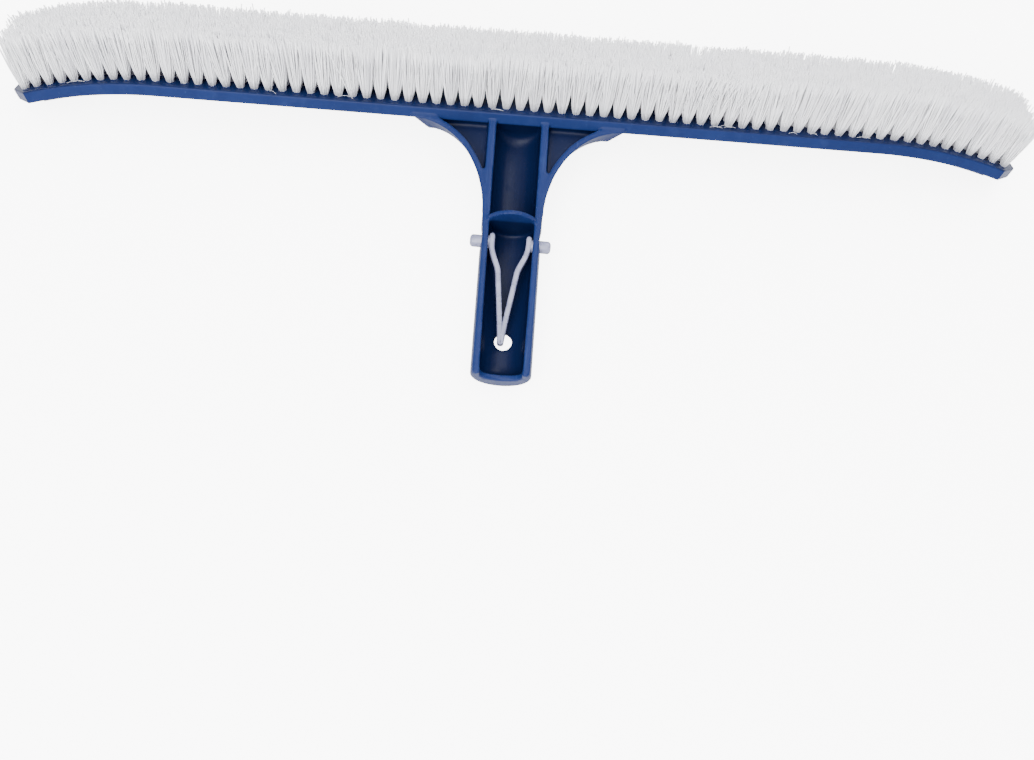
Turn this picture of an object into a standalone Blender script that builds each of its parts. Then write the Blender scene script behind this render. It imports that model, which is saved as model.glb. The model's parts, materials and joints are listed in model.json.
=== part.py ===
"""Pool wall brush: a moulded head and handle, five rows of bristle tufts and a sprung V clip.

The handle lies along Y with its open trough on top, and the bristles point up and away from it.
Everything is laid out in the handle's own frame (X along the head, -Y towards the shank's end, Z out
of the trough, zero on the shank's axis below the head's near edge). The empty "brush" then tips that
frame so that the shank's end and the two ends of the head stand on Z = 0.
"""
import math

import bmesh
import bpy
from mathutils import Matrix, Vector

MM = 0.001
GAP = 0.3 * MM                      # clearance between pieces that touch

# Tufts
TUFTS_PER_ROW = 73
ROWS = 5
TUFT_PITCH = 6.15 * MM
END_TUFTS = 8                       # tufts at each end of a row that stand closer together
END_TUFT_PITCH = 5.72 * MM
ROW_PITCH = 5.3 * MM
ROW_MARGIN = 5.0 * MM               # from a long edge of the plate to the nearest row
TUFT_LENGTH = 26.5 * MM
TUFT_ROOT = 1.2 * MM                # half the width of a tuft where it leaves its hole
TUFT_MERGE = 13.0 * MM              # height at which neighbouring tufts grow into one another
TUFT_FOLLOW = 0.5                   # share of the plate's own turn that the end tufts take
ROW_FAN = math.radians(9.0)         # outward lean of each outermost row
SECTION_TUFTS = (15, 15, 13, 15, 15)

# Head plate
PLATE_WIDTH = 2 * ROW_MARGIN + (ROWS - 1) * ROW_PITCH
PLATE_THICKNESS = 5.0 * MM
PLATE_EDGE = 0.7 * MM               # chamfer along the plate's long edges
PLATE_STRAIGHT = 160.3 * MM         # half the length of the straight middle
PLATE_END_RADIUS = 197.0 * MM       # the ends bend away from the bristles
PLATE_OVERHANG = 7.6 * MM           # from the last tuft to the plate's end
PLATE_CORNER = 8.4 * MM             # chamfer at the four corners in plan
END_STEPS = 10
SPINE_INSET = 6.0 * MM              # raised back of the plate, which gives the tuft holes depth
SPINE_HEIGHT = 2.5 * MM

# Handle
BRISTLE_ELEVATION = math.radians(57.4)   # of the bristles above the handle's own direction
HEAD_CORNER_Z = 3.3 * MM            # height of the plate's near back corner over the shank's axis
RIM_Z = 5.2 * MM                    # height of the trough's rim over the shank's axis
SHANK_LENGTH = 115.7 * MM
SHANK_END_R = 12.7 * MM
SHANK_HEAD_R = 13.3 * MM
SHANK_TAIL_R = 9.5 * MM             # where the round shank dies out behind the plate
SHANK_TAIL_Y = 26.0 * MM
SHANK_SEGMENTS = 64
SHANK_END_CHAMFER = 1.0 * MM
BULKHEAD_Y = -47.1 * MM
BULKHEAD_THICKNESS = 2.0 * MM
BULKHEAD_R = 11.8 * MM
TROUGH_END_HALF = 8.9 * MM
TROUGH_BULKHEAD_HALF = 9.65 * MM
TROUGH_HEAD_HALF = 9.8 * MM
TROUGH_SIDE_Z = -2.0 * MM           # where the upright walls turn into the rounded floor
TROUGH_FLOOR_Z = -10.0 * MM
TROUGH_FILLET = 4.5 * MM            # length over which the floor rises to a cross wall
TROUGH_FILLET_Z = -5.0 * MM
FILLET_STEPS = 4
END_WALL = 2.6 * MM
END_DIP_HALF = 8.7 * MM             # the hollow top of the end wall
END_DIP_SIDE_Z = 1.5 * MM
END_DIP_FLOOR_Z = -3.1 * MM
DRAIN_Y = -96.4 * MM
DRAIN_R = 3.8 * MM
BUTTON_Y = -55.6 * MM
BUTTON_HOLE_R = 3.5 * MM
BUTTON_HOLE_SWING = 1.9 * MM        # the holes are this much longer, as a pressed button swings

# Yoke between the shank and the plate
YOKE_CENTRE_X = 47.5 * MM           # centre and half axes of the flare's elliptic edges
YOKE_CENTRE_Y = -45.5 * MM
YOKE_HALF_X = 34.3 * MM
YOKE_HALF_Y = 45.0 * MM
YOKE_LEAD = (11.3 * MM, -62.0 * MM)  # where the flare starts inside the shank
YOKE_BOTTOM_X = 9.6 * MM            # the flare's underside starts here and spreads less
YOKE_BOTTOM_Z = -4.0 * MM
YOKE_BOTTOM_SPREAD = 0.85
YOKE_STEPS = 14
POCKET_RIM = 3.0 * MM
POCKET_INNER_X = 13.3 * MM
POCKET_FLOOR_Z = -1.0 * MM
HEAD_WALL_Y = 1.2 * MM              # where the rim plane meets the plate's near edge

# V clip
CLIP_REACH = 44.2 * MM              # from the apex to the buttons
CLIP_DROP = 6.9 * MM                # how far the apex lies below the buttons
CLIP_SKEW = math.radians(1.6)       # how far the clip sits turned in its holes
CLIP_DEPTH = 5.4 * MM
LEG_THICKNESS = 2.3 * MM
LEG_START = 12.6 * MM               # distances from the apex along the clip
LEG_START_OFFSET = 1.55 * MM
LEG_STRAIGHT_END = 31.0 * MM
LEG_STRAIGHT_OFFSET = 4.0 * MM
LEG_WALL_START = 43.5 * MM
LEG_WALL_OFFSET = 7.85 * MM
LEG_END = 47.2 * MM
LEG_STEPS = 14
LEG_TIP_SWELL = 0.45 * MM
BOW_TIP_HALF = 1.1 * MM
BUTTON_R = 2.7 * MM
BUTTON_TIP_X = 17.4 * MM
BUTTON_DOME = 1.3 * MM

BLUE = (0.014, 0.062, 0.235)
NYLON = (0.90, 0.90, 0.93)
CLEAR_NYLON = (0.66, 0.68, 0.78)

HEAD_ALONG = Vector((0.0, math.sin(BRISTLE_ELEVATION), -math.cos(BRISTLE_ELEVATION)))
HEAD_UP = Vector((0.0, math.cos(BRISTLE_ELEVATION), math.sin(BRISTLE_ELEVATION)))
HEAD_CORNER = Vector((0.0, 0.0, HEAD_CORNER_Z))


def clear_scene():
    for old in list(bpy.data.objects):
        bpy.data.objects.remove(old, do_unlink=True)


def plastic(name, colour, roughness):
    """A plain moulded plastic."""
    material = bpy.data.materials.new(name)
    material.use_nodes = True
    shader = material.node_tree.nodes["Principled BSDF"]
    shader.inputs["Base Color"].default_value = (*colour, 1.0)
    shader.inputs["Roughness"].default_value = roughness
    shader.inputs["Metallic"].default_value = 0.0
    return material


def empty(name, matrix, parent=None):
    """An empty with its own place under a parent."""
    point = bpy.data.objects.new(name, None)
    bpy.context.collection.objects.link(point)
    point.empty_display_size = 10 * MM
    point.parent = parent
    point.matrix_local = matrix
    return point


def solid(name, points, faces, material, parent):
    """An object from points and faces, with its faces turned outwards."""
    mesh = bpy.data.meshes.new(name)
    mesh.from_pydata([tuple(p) for p in points], [], faces)
    shell = bmesh.new()
    shell.from_mesh(mesh)
    bmesh.ops.recalc_face_normals(shell, faces=shell.faces)
    shell.to_mesh(mesh)
    shell.free()
    piece = bpy.data.objects.new(name, mesh)
    bpy.context.collection.objects.link(piece)
    piece.parent = parent
    if material:
        mesh.materials.append(material)
    return piece


def loft(name, rings, material, parent):
    """A closed solid through rings that all have the same number of points."""
    count = len(rings[0])
    points = [p for ring in rings for p in ring]
    faces = [list(range(count))[::-1]]
    for ring in range(len(rings) - 1):
        low = ring * count
        for i in range(count):
            j = (i + 1) % count
            faces.append([low + i, low + j, low + count + j, low + count + i])
    last = (len(rings) - 1) * count
    faces.append([last + i for i in range(count)])
    return solid(name, points, faces, material, parent)


def split_twisted_faces(piece):
    """Cut every four-sided face into triangles, so that each is truly flat."""
    shell = bmesh.new()
    shell.from_mesh(piece.data)
    quads = [face for face in shell.faces if len(face.verts) == 4]
    bmesh.ops.triangulate(shell, faces=quads)
    shell.to_mesh(piece.data)
    shell.free()


def combine(target, tool, operation):
    """Unite the target with a tool, or cut it, and keep the tool as a hidden guide."""
    step = target.modifiers.new(operation.title() + " " + tool.name, "BOOLEAN")
    step.operation = operation
    step.object = tool
    step.solver = "EXACT"
    tool.hide_render = True
    tool.display_type = "WIRE"


# Head -------------------------------------------------------------------------------------------

def bend_angle(arc):
    """How far the plate has turned at a distance along it from its middle."""
    return math.copysign(max(abs(arc) - PLATE_STRAIGHT, 0.0) / PLATE_END_RADIUS, arc)


def head_point(arc, across, height):
    """A point of the head: along the bent plate, from its near edge to its far edge, off its back."""
    turn = bend_angle(arc)
    straight = max(-PLATE_STRAIGHT, min(PLATE_STRAIGHT, arc))
    x = straight + (PLATE_END_RADIUS + height) * math.sin(turn)
    up = (PLATE_END_RADIUS + height) * math.cos(turn) - PLATE_END_RADIUS
    return HEAD_CORNER + Vector((x, 0.0, 0.0)) + across * HEAD_ALONG + up * HEAD_UP


def tuft_arc(place):
    """Distance along the plate of a place in a row, counted in tufts from the middle."""
    inner = min(abs(place), (TUFTS_PER_ROW - 1) / 2 - END_TUFTS)
    outer = abs(place) - inner
    return math.copysign(inner * TUFT_PITCH + outer * END_TUFT_PITCH, place)


def plate_half_length():
    return tuft_arc((TUFTS_PER_ROW - 1) / 2) + PLATE_OVERHANG


def bar_section(arc, near, far, bottom, top, edge):
    """A rectangle across the head with its four edges chamfered."""
    outline = [
        (near + edge, bottom), (far - edge, bottom), (far, bottom + edge), (far, top - edge),
        (far - edge, top), (near + edge, top), (near, top - edge), (near, bottom + edge)]
    return [head_point(arc, across, height) for across, height in outline]


def bar_rings(half_length, corner, near, far, bottom, top, edge):
    """Sections of a bar that follows the plate, with its corners cut off in plan."""
    ends = [half_length, half_length - corner]
    span = half_length - corner - PLATE_STRAIGHT
    ends += [PLATE_STRAIGHT + span * (1 - step / END_STEPS) for step in range(1, END_STEPS + 1)]
    rings = []
    for arc in [-a for a in ends] + ends[::-1]:
        cut = max(abs(arc) - (half_length - corner), 0.0)
        rings.append(bar_section(arc, near + cut, far - cut, bottom, top, edge))
    return rings


def make_plate(material, parent):
    rings = bar_rings(plate_half_length(), PLATE_CORNER, 0.0, PLATE_WIDTH,
                      0.0, PLATE_THICKNESS, PLATE_EDGE)
    return loft("brush_body", rings, material, parent)


def make_spine(parent):
    """The raised middle of the plate's back."""
    rings = bar_rings(plate_half_length() - SPINE_INSET, SPINE_INSET, SPINE_INSET,
                      PLATE_WIDTH - SPINE_INSET, -SPINE_HEIGHT, PLATE_EDGE, PLATE_EDGE)
    return loft("spine_guide", rings, None, parent)


# Handle -----------------------------------------------------------------------------------------

def round_ring(y, radius):
    turns = [2 * math.pi * step / SHANK_SEGMENTS for step in range(SHANK_SEGMENTS)]
    return [Vector((radius * math.cos(a), y, radius * math.sin(a))) for a in turns]


def make_shank(parent):
    """The full round shank, which tapers a little to its end and dies out behind the plate."""
    end = -SHANK_LENGTH
    rings = [
        round_ring(end, SHANK_END_R - SHANK_END_CHAMFER),
        round_ring(end + SHANK_END_CHAMFER, SHANK_END_R),
        round_ring(0.0, SHANK_HEAD_R),
        round_ring(SHANK_TAIL_Y, SHANK_TAIL_R)]
    return loft("shank_guide", rings, None, parent)


def flare_point(turn, rim=0.0):
    """A point on the flare's edge, or on its pocket's edge one rim further in."""
    x = YOKE_CENTRE_X - (YOKE_HALF_X + rim) * math.cos(turn)
    y = YOKE_CENTRE_Y + (YOKE_HALF_Y + rim) * math.sin(turn)
    return x, y


def make_yoke(parent):
    """The flared web between the shank and the plate, with a narrower underside."""
    turns = [0.5 * math.pi * step / YOKE_STEPS for step in range(YOKE_STEPS + 1)]
    edge = [YOKE_LEAD] + [flare_point(turn) for turn in turns]
    edge.append((YOKE_CENTRE_X, PLATE_WIDTH))
    levels = (
        (YOKE_BOTTOM_Z, YOKE_BOTTOM_X, YOKE_BOTTOM_SPREAD),
        (RIM_Z + GAP, YOKE_LEAD[0], 1.0))
    rings = []
    for z, start, spread in levels:
        right = [(start + (x - YOKE_LEAD[0]) * spread, y) for x, y in edge]
        left = [(-x, y) for x, y in right[::-1]]
        rings.append([Vector((x, y, z)) for x, y in right + left])
    yoke = loft("yoke_guide", rings, None, parent)
    split_twisted_faces(yoke)
    return yoke


def side_prism(name, profile, half_width, parent):
    """A profile in Y and Z carried straight across in X."""
    rings = [[Vector((x, y, z)) for y, z in profile] for x in (-half_width, half_width)]
    return loft(name, rings, None, parent)


def make_top_trim(parent):
    """Takes away all that stands above the rim plane or in front of the plate's middle plane."""
    high = 60 * MM
    start = HEAD_CORNER + HEAD_UP * (PLATE_THICKNESS / 2)
    meet = start + HEAD_ALONG * ((start.z - RIM_Z) / HEAD_ALONG.z * -1)
    low = start + HEAD_ALONG * (PLATE_WIDTH * 1.4)
    profile = [
        (-SHANK_LENGTH - high, RIM_Z), (meet.y, RIM_Z), (low.y, low.z),
        (low.y + high, low.z), (low.y + high, high), (-SHANK_LENGTH - high, high)]
    return side_prism("top_trim_guide", profile, 2 * YOKE_CENTRE_X, parent)


def trough_ring(y, half_width, side_z, floor_z):
    """A trough's section: upright walls down to side_z and a rounded floor, open to the top."""
    top = 40 * MM
    steps = 12
    points = [Vector((half_width, y, top))]
    for step in range(steps + 1):
        turn = math.pi * step / steps
        x = half_width * math.cos(turn)
        z = side_z - (side_z - floor_z) * math.sin(turn)
        points.append(Vector((x, y, z)))
    points.append(Vector((-half_width, y, top)))
    return points


def trough_rings(start_y, start_half, end_y, end_half):
    """A trough from its filleted cross wall at start_y to its plain wall at end_y."""
    along = math.copysign(TROUGH_FILLET, end_y - start_y)
    rings = []
    for step in range(FILLET_STEPS + 1):
        turn = 0.5 * math.pi * step / FILLET_STEPS
        y = start_y + along * (1 - math.cos(turn))
        floor_z = TROUGH_FILLET_Z + (TROUGH_FLOOR_Z - TROUGH_FILLET_Z) * math.sin(turn)
        half = start_half + (end_half - start_half) * (y - start_y) / (end_y - start_y)
        rings.append(trough_ring(y, half, TROUGH_SIDE_Z, floor_z))
    rings.append(trough_ring(end_y, end_half, TROUGH_SIDE_Z, TROUGH_FLOOR_Z))
    return rings


def make_lower_trough(parent):
    rings = trough_rings(-SHANK_LENGTH + END_WALL, TROUGH_END_HALF,
                         BULKHEAD_Y, TROUGH_BULKHEAD_HALF)
    cutter = loft("lower_trough_guide", rings, None, parent)
    split_twisted_faces(cutter)
    return cutter


def make_upper_trough(parent):
    rings = trough_rings(HEAD_WALL_Y, TROUGH_HEAD_HALF,
                         BULKHEAD_Y + BULKHEAD_THICKNESS, TROUGH_BULKHEAD_HALF)
    cutter = loft("upper_trough_guide", rings, None, parent)
    split_twisted_faces(cutter)
    return cutter


def make_bulkhead(parent):
    """The round-topped wall that stops the pole."""
    rings = [round_ring(y, BULKHEAD_R) for y in (BULKHEAD_Y, BULKHEAD_Y + BULKHEAD_THICKNESS)]
    return loft("bulkhead_guide", rings, None, parent)


def make_end_dip(parent):
    """The hollow in the top of the end wall."""
    rings = [trough_ring(y, END_DIP_HALF, END_DIP_SIDE_Z, END_DIP_FLOOR_Z)
             for y in (-SHANK_LENGTH - END_WALL, -SHANK_LENGTH + END_WALL + GAP)]
    return loft("end_dip_guide", rings, None, parent)


def make_pocket(side, parent):
    """A three-cornered pocket between a rail and the flare's rim."""
    low = math.acos((YOKE_CENTRE_X - POCKET_INNER_X) / (YOKE_HALF_X + POCKET_RIM))
    high = math.asin((HEAD_WALL_Y - YOKE_CENTRE_Y) / (YOKE_HALF_Y + POCKET_RIM))
    turns = [low + (high - low) * step / YOKE_STEPS for step in range(YOKE_STEPS + 1)]
    outline = [flare_point(turn, POCKET_RIM) for turn in turns] + [(POCKET_INNER_X, HEAD_WALL_Y)]
    rings = [[Vector((side * x, y, z)) for x, y in outline] for z in (POCKET_FLOOR_Z, 40 * MM)]
    return loft("pocket_guide", rings, None, parent)


def drill(name, centre, radius, half_length, parent):
    """A round upright cutter."""
    steps = 28
    rings = []
    for end in (-half_length, half_length):
        ring = []
        for step in range(steps):
            a = 2 * math.pi * step / steps
            ring.append(centre + Vector((radius * math.cos(a), radius * math.sin(a), end)))
        rings.append(ring)
    return loft(name, rings, None, parent)


def make_button_holes(parent):
    """One cutter for both button holes, longer towards the head than they are high."""
    steps = 28
    rings = []
    for x in (-SHANK_HEAD_R - 5 * MM, SHANK_HEAD_R + 5 * MM):
        ring = []
        for step in range(steps):
            a = 2 * math.pi * (step + 0.5) / steps
            swing = BUTTON_HOLE_SWING if math.sin(a) > 0 else 0.0
            y = BUTTON_Y + swing + BUTTON_HOLE_R * math.sin(a)
            ring.append(Vector((x, y, BUTTON_HOLE_R * math.cos(a))))
        rings.append(ring)
    return loft("button_hole_guide", rings, None, parent)


def make_body(material, parent):
    """The one-piece moulding: plate, spine, yoke and shank, cut by its hollows and holes."""
    body = make_plate(material, parent)
    handle = make_shank(parent)
    combine(handle, make_yoke(parent), "UNION")
    combine(handle, make_top_trim(parent), "DIFFERENCE")
    combine(handle, make_bulkhead(parent), "UNION")
    combine(handle, make_lower_trough(parent), "DIFFERENCE")
    combine(handle, make_upper_trough(parent), "DIFFERENCE")
    combine(handle, make_end_dip(parent), "DIFFERENCE")
    for side in (-1, 1):
        combine(handle, make_pocket(side, parent), "DIFFERENCE")
    drain = drill("drain_guide", Vector((0.0, DRAIN_Y, TROUGH_FLOOR_Z)), DRAIN_R, 6 * MM, parent)
    combine(handle, drain, "DIFFERENCE")
    combine(handle, make_button_holes(parent), "DIFFERENCE")
    combine(body, make_spine(parent), "UNION")
    combine(body, handle, "UNION")
    return body


# Bristles ---------------------------------------------------------------------------------------

def tuft_point(place, row, height):
    """A point of the bristle pile: place along a row, row across the head, height off the face."""
    arc = tuft_arc(place)
    centre_row = (ROWS - 1) / 2
    across = PLATE_WIDTH / 2 + (row - centre_row) * ROW_PITCH
    root = head_point(arc, across, PLATE_THICKNESS)
    turn = bend_angle(arc) * TUFT_FOLLOW
    fan = ROW_FAN * (row - centre_row) / centre_row
    outward = Vector((math.sin(turn), 0.0, 0.0)) + math.cos(turn) * HEAD_UP
    return root + height * (math.cos(fan) * outward + math.sin(fan) * HEAD_ALONG)


def make_bristles(name, row, first, count, material, parent):
    """Neighbouring tufts of one row: separate at their roots and grown together above."""
    inset = GAP / 2 / TUFT_PITCH
    side = 0.5 - GAP / 2 / ROW_PITCH
    root_along = TUFT_ROOT / TUFT_PITCH
    root_across = TUFT_ROOT / ROW_PITCH
    cuts = [first - 0.5 + i for i in range(count + 1)]
    cuts[0] += inset
    cuts[-1] -= inset
    points = []
    for height in (TUFT_MERGE, TUFT_LENGTH):
        for place in cuts:
            points.append(tuft_point(place, row - side, height))
            points.append(tuft_point(place, row + side, height))
    top = 2 * len(cuts)
    faces = [[0, 1, top + 1, top], [top - 2, 2 * top - 2, 2 * top - 1, top - 1]]
    for i in range(count):
        a, b, c, d = 2 * i, 2 * i + 1, 2 * i + 3, 2 * i + 2
        faces += [[top + a, top + b, top + c, top + d], [a, top + a, top + d, d],
                  [b, c, top + c, top + b]]
        base = len(points)
        for along, across in ((-1, -1), (-1, 1), (1, 1), (1, -1)):
            place = first + i + along * root_along
            points.append(tuft_point(place, row + across * root_across, GAP))
        corners = (a, b, c, d)
        for k in range(4):
            m = (k + 1) % 4
            faces.append([base + k, base + m, corners[m], corners[k]])
        faces.append([base, base + 3, base + 2, base + 1])
    return solid(name, points, faces, material, parent)


def make_all_bristles(material, parent):
    names = ("left_end", "left", "middle", "right", "right_end")
    for row in range(ROWS):
        first = -(TUFTS_PER_ROW - 1) // 2
        for section, count in zip(names, SECTION_TUFTS):
            name = "bristles_row_{}_{}".format(row + 1, section)
            make_bristles(name, row, first, count, material, parent)
            first += count


# V clip -----------------------------------------------------------------------------------------

def leg_offset(reach):
    """Distance of a leg's middle line from the clip's middle line, at a distance from the apex."""
    share = (reach - LEG_START) / (LEG_STRAIGHT_END - LEG_START)
    straight = LEG_START_OFFSET + share * (LEG_STRAIGHT_OFFSET - LEG_START_OFFSET)
    bend = (reach - LEG_STRAIGHT_END) / (LEG_WALL_START - LEG_STRAIGHT_END)
    bend = max(0.0, min(1.0, bend))
    smooth = bend * bend * (3 - 2 * bend)
    return straight * (1 - smooth) + LEG_WALL_OFFSET * smooth


def strip(name, outline, material, parent):
    """A flat outline in the clip's plane, given the clip's depth."""
    half = CLIP_DEPTH / 2
    rings = [[Vector((x, y, z)) for x, y in outline] for z in (-half, half)]
    return loft(name, rings, material, parent)


def leg_outline(side):
    """The outline of a leg round its middle line, with round ends, seen from its pivot."""
    half = LEG_THICKNESS / 2
    reaches = [LEG_START + (LEG_END - LEG_START) * i / LEG_STEPS for i in range(LEG_STEPS + 1)]
    middle = [Vector((leg_offset(r), r)) for r in reaches]
    inner, outer = [], []
    for i, point in enumerate(middle):
        ahead = middle[min(i + 1, LEG_STEPS)] - middle[max(i - 1, 0)]
        normal = Vector((ahead.y, -ahead.x)).normalized()
        swell = LEG_TIP_SWELL * max(0.0, 1 - (LEG_END - point.y) / (6 * MM))
        outer.append(point + normal * half)
        inner.append(point - normal * (half + swell))
    tip = []
    for step in range(1, 6):
        turn = math.pi * step / 6
        centre = (outer[-1] + inner[-1]) / 2
        radius = (outer[-1] - inner[-1]).length / 2
        tip.append(centre + Vector((radius * math.cos(turn), 0.6 * radius * math.sin(turn))))
    root = []
    for step in range(1, 5):
        turn = math.pi + math.pi * step / 5
        root.append(middle[0] + half * Vector((math.cos(turn), math.sin(turn))))
    outline = outer + tip + inner[::-1] + root
    return [(side * (x - LEG_START_OFFSET), y - LEG_START) for x, y in outline]


def make_bow(material, parent):
    """The clip's apex, where the two legs spring from."""
    tip = BOW_TIP_HALF
    shoulder_y = LEG_START - LEG_THICKNESS / 2 - GAP
    shoulder = LEG_START_OFFSET + LEG_THICKNESS / 2
    outline = [(shoulder, shoulder_y), (-shoulder, shoulder_y), (-shoulder, shoulder_y - 2 * MM)]
    for step in range(7):
        turn = math.pi + math.pi * step / 6
        outline.append((tip * math.cos(turn), tip + tip * math.sin(turn)))
    outline.append((shoulder, shoulder_y - 2 * MM))
    moved = [(x, y - CLIP_REACH) for x, y in outline]
    return strip("clip_bow", moved, material, parent)


def make_button(name, side, material, parent):
    """A domed round button on the outside of a leg."""
    start = LEG_WALL_OFFSET + LEG_THICKNESS / 2 + GAP - LEG_START_OFFSET
    tip = BUTTON_TIP_X - LEG_START_OFFSET
    y = CLIP_REACH - LEG_START
    steps = 20
    shape = [(start, BUTTON_R), (tip - BUTTON_DOME, BUTTON_R),
             (tip - BUTTON_DOME * 0.4, BUTTON_R * 0.82), (tip, BUTTON_R * 0.4)]
    rings = []
    for x, radius in shape:
        turns = [2 * math.pi * step / steps for step in range(steps)]
        rings.append([Vector((side * x, y + radius * math.cos(a), radius * math.sin(a)))
                      for a in turns])
    return loft(name, rings, material, parent)


def make_clip(material, parent):
    """The V clip: a bow that stays put, and two legs that swing in with their buttons."""
    tilt = math.asin(CLIP_DROP / CLIP_REACH)
    turn = Matrix.Rotation(-CLIP_SKEW, 4, "Z") @ Matrix.Rotation(tilt, 4, "X")
    frame = empty("clip_frame", Matrix.Translation((0.0, BUTTON_Y, 0.0)) @ turn, parent)
    make_bow(material, frame)
    for side, word in ((-1, "left"), (1, "right")):
        place = Matrix.Translation((side * LEG_START_OFFSET, LEG_START - CLIP_REACH, 0.0))
        pivot = empty("clip_" + word + "_pivot", place, frame)
        strip("clip_leg_" + word, leg_outline(side), material, pivot)
        make_button("clip_button_" + word, side, material, pivot)


# Assembly ---------------------------------------------------------------------------------------

def rest_tilt():
    """The turn about X that puts the shank's end and the head's ends on one level."""
    half = plate_half_length()
    corners = [head_point(half - PLATE_CORNER, PLATE_WIDTH, PLATE_EDGE),
               head_point(half - PLATE_CORNER, PLATE_WIDTH - PLATE_EDGE, 0.0),
               head_point(half, PLATE_WIDTH - PLATE_CORNER, PLATE_EDGE)]
    heel_y = -SHANK_LENGTH + SHANK_END_CHAMFER
    slopes = [(-SHANK_END_R - p.z) / (p.y - heel_y) for p in corners]
    return math.atan(max(slopes))


def stand_on_ground(root):
    """Move the assembly so that the middle of its box's base is the world's origin."""
    bpy.context.view_layer.update()
    graph = bpy.context.evaluated_depsgraph_get()
    low = Vector((math.inf,) * 3)
    high = -low
    for piece in bpy.data.objects:
        if piece.type != "MESH" or piece.hide_render:
            continue
        shape = piece.evaluated_get(graph)
        for vertex in shape.data.vertices:
            place = shape.matrix_world @ vertex.co
            low = Vector(map(min, low, place))
            high = Vector(map(max, high, place))
    middle = (low + high) / 2
    root.location -= Vector((middle.x, middle.y, low.z))
    bpy.context.view_layer.update()


def shade_round_pieces():
    for piece in bpy.data.objects:
        if piece.type == "MESH" and not piece.hide_render:
            piece.data.shade_smooth()
            piece.data.set_sharp_from_angle(angle=math.radians(35))


def main():
    clear_scene()
    root = empty("brush", Matrix.Rotation(rest_tilt(), 4, "X"))
    make_body(plastic("blue_plastic", BLUE, 0.38), root)
    make_all_bristles(plastic("white_bristle", NYLON, 0.55), root)
    make_clip(plastic("clear_nylon", CLEAR_NYLON, 0.30), root)
    stand_on_ground(root)
    shade_round_pieces()


main()
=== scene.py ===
"""Pool wall brush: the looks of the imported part.

The blue moulding, the bristle filaments and the clear V clip are made finer here and ride on the
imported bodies. Two frames come from the record: the handle's (side, along, rise) and the clip's.
"""
import json
import math

import bmesh
import bpy
import numpy as np
from mathutils import Matrix, Vector


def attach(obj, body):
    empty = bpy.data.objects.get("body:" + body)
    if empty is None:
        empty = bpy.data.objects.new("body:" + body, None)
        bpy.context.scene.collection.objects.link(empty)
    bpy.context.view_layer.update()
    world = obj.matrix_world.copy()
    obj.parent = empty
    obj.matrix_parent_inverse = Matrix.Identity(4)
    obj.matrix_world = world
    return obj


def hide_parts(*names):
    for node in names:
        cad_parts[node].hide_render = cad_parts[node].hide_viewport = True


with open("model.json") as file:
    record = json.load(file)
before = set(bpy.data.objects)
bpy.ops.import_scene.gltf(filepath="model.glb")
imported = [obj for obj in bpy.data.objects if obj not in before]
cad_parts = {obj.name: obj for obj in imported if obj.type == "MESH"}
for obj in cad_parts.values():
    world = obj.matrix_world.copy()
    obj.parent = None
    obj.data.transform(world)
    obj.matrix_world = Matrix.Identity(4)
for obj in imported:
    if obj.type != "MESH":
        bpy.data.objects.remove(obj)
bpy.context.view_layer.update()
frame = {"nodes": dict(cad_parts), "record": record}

MM = 0.001

# Head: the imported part's own measures
TUFTS_PER_ROW = 73
ROWS = 5
TUFT_PITCH = 6.15 * MM
END_TUFTS = 8
END_TUFT_PITCH = 5.72 * MM
ROW_PITCH = 5.3 * MM
ROW_MARGIN = 5.0 * MM
SECTION_TUFTS = (("left_end", 15), ("left", 15), ("middle", 13), ("right", 15), ("right_end", 15))
PLATE_WIDTH = 2 * ROW_MARGIN + (ROWS - 1) * ROW_PITCH
PLATE_THICKNESS = 5.0 * MM
PLATE_STRAIGHT = 160.3 * MM
PLATE_END_RADIUS = 197.0 * MM
PLATE_OVERHANG = 7.6 * MM
PLATE_CORNER = 8.4 * MM
PLATE_EDGE = 0.7 * MM
SPINE_INSET = 6.0 * MM
SPINE_HEIGHT = 2.5 * MM

# Head: what is finer here
LIP_R = 1.5 * MM                    # lips of the tuft holes
LIP_WIDTH = 0.5 * MM
LIP_HEIGHT = 0.18 * MM
LIP_SIDES = 10
LIP_SINK = 0.03 * MM                # how deep a lip's flat underside lies in the plate
SHARP_ANGLE = math.radians(38.0)
FACE_SHADE = 0.55                   # how far the plate's face among the bristles is darkened by painted shade
FACE_DEPTH = 0.4 * MM               # depth over which that shade fades out
COVER = 0.15 * MM                   # how far the plate stands proud of the handle's root

# Handle
SHANK_LENGTH = 115.7 * MM
SHANK_FACE_DROP = 8.0 * MM          # from the shank's axis down to the point named in the record
HEAD_CORNER_RISE = 3.3 * MM
HANDLE_HALF_WIDTH = 54.0 * MM
HANDLE_GRAIN = 0.57 * MM            # size of the cells that the handle's skin is rebuilt from
HANDLE_SMOOTHING = 5                # rounds of smoothing
RIM_RISE = 5.2 * MM                 # height of the trough's rim over the shank's axis
HOLLOW_R = 11.2 * MM                # the troughs' skin lies within this distance of the shank's axis
HOLLOW_END = -113.0 * MM
POCKET_CENTRE = (47.5 * MM, -45.5 * MM)
POCKET_HALF_AXES = (37.0 * MM, 47.6 * MM)
POCKET_FLOOR_RISE = -1.6 * MM
POCKET_INNER_X = 13.0 * MM

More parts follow.
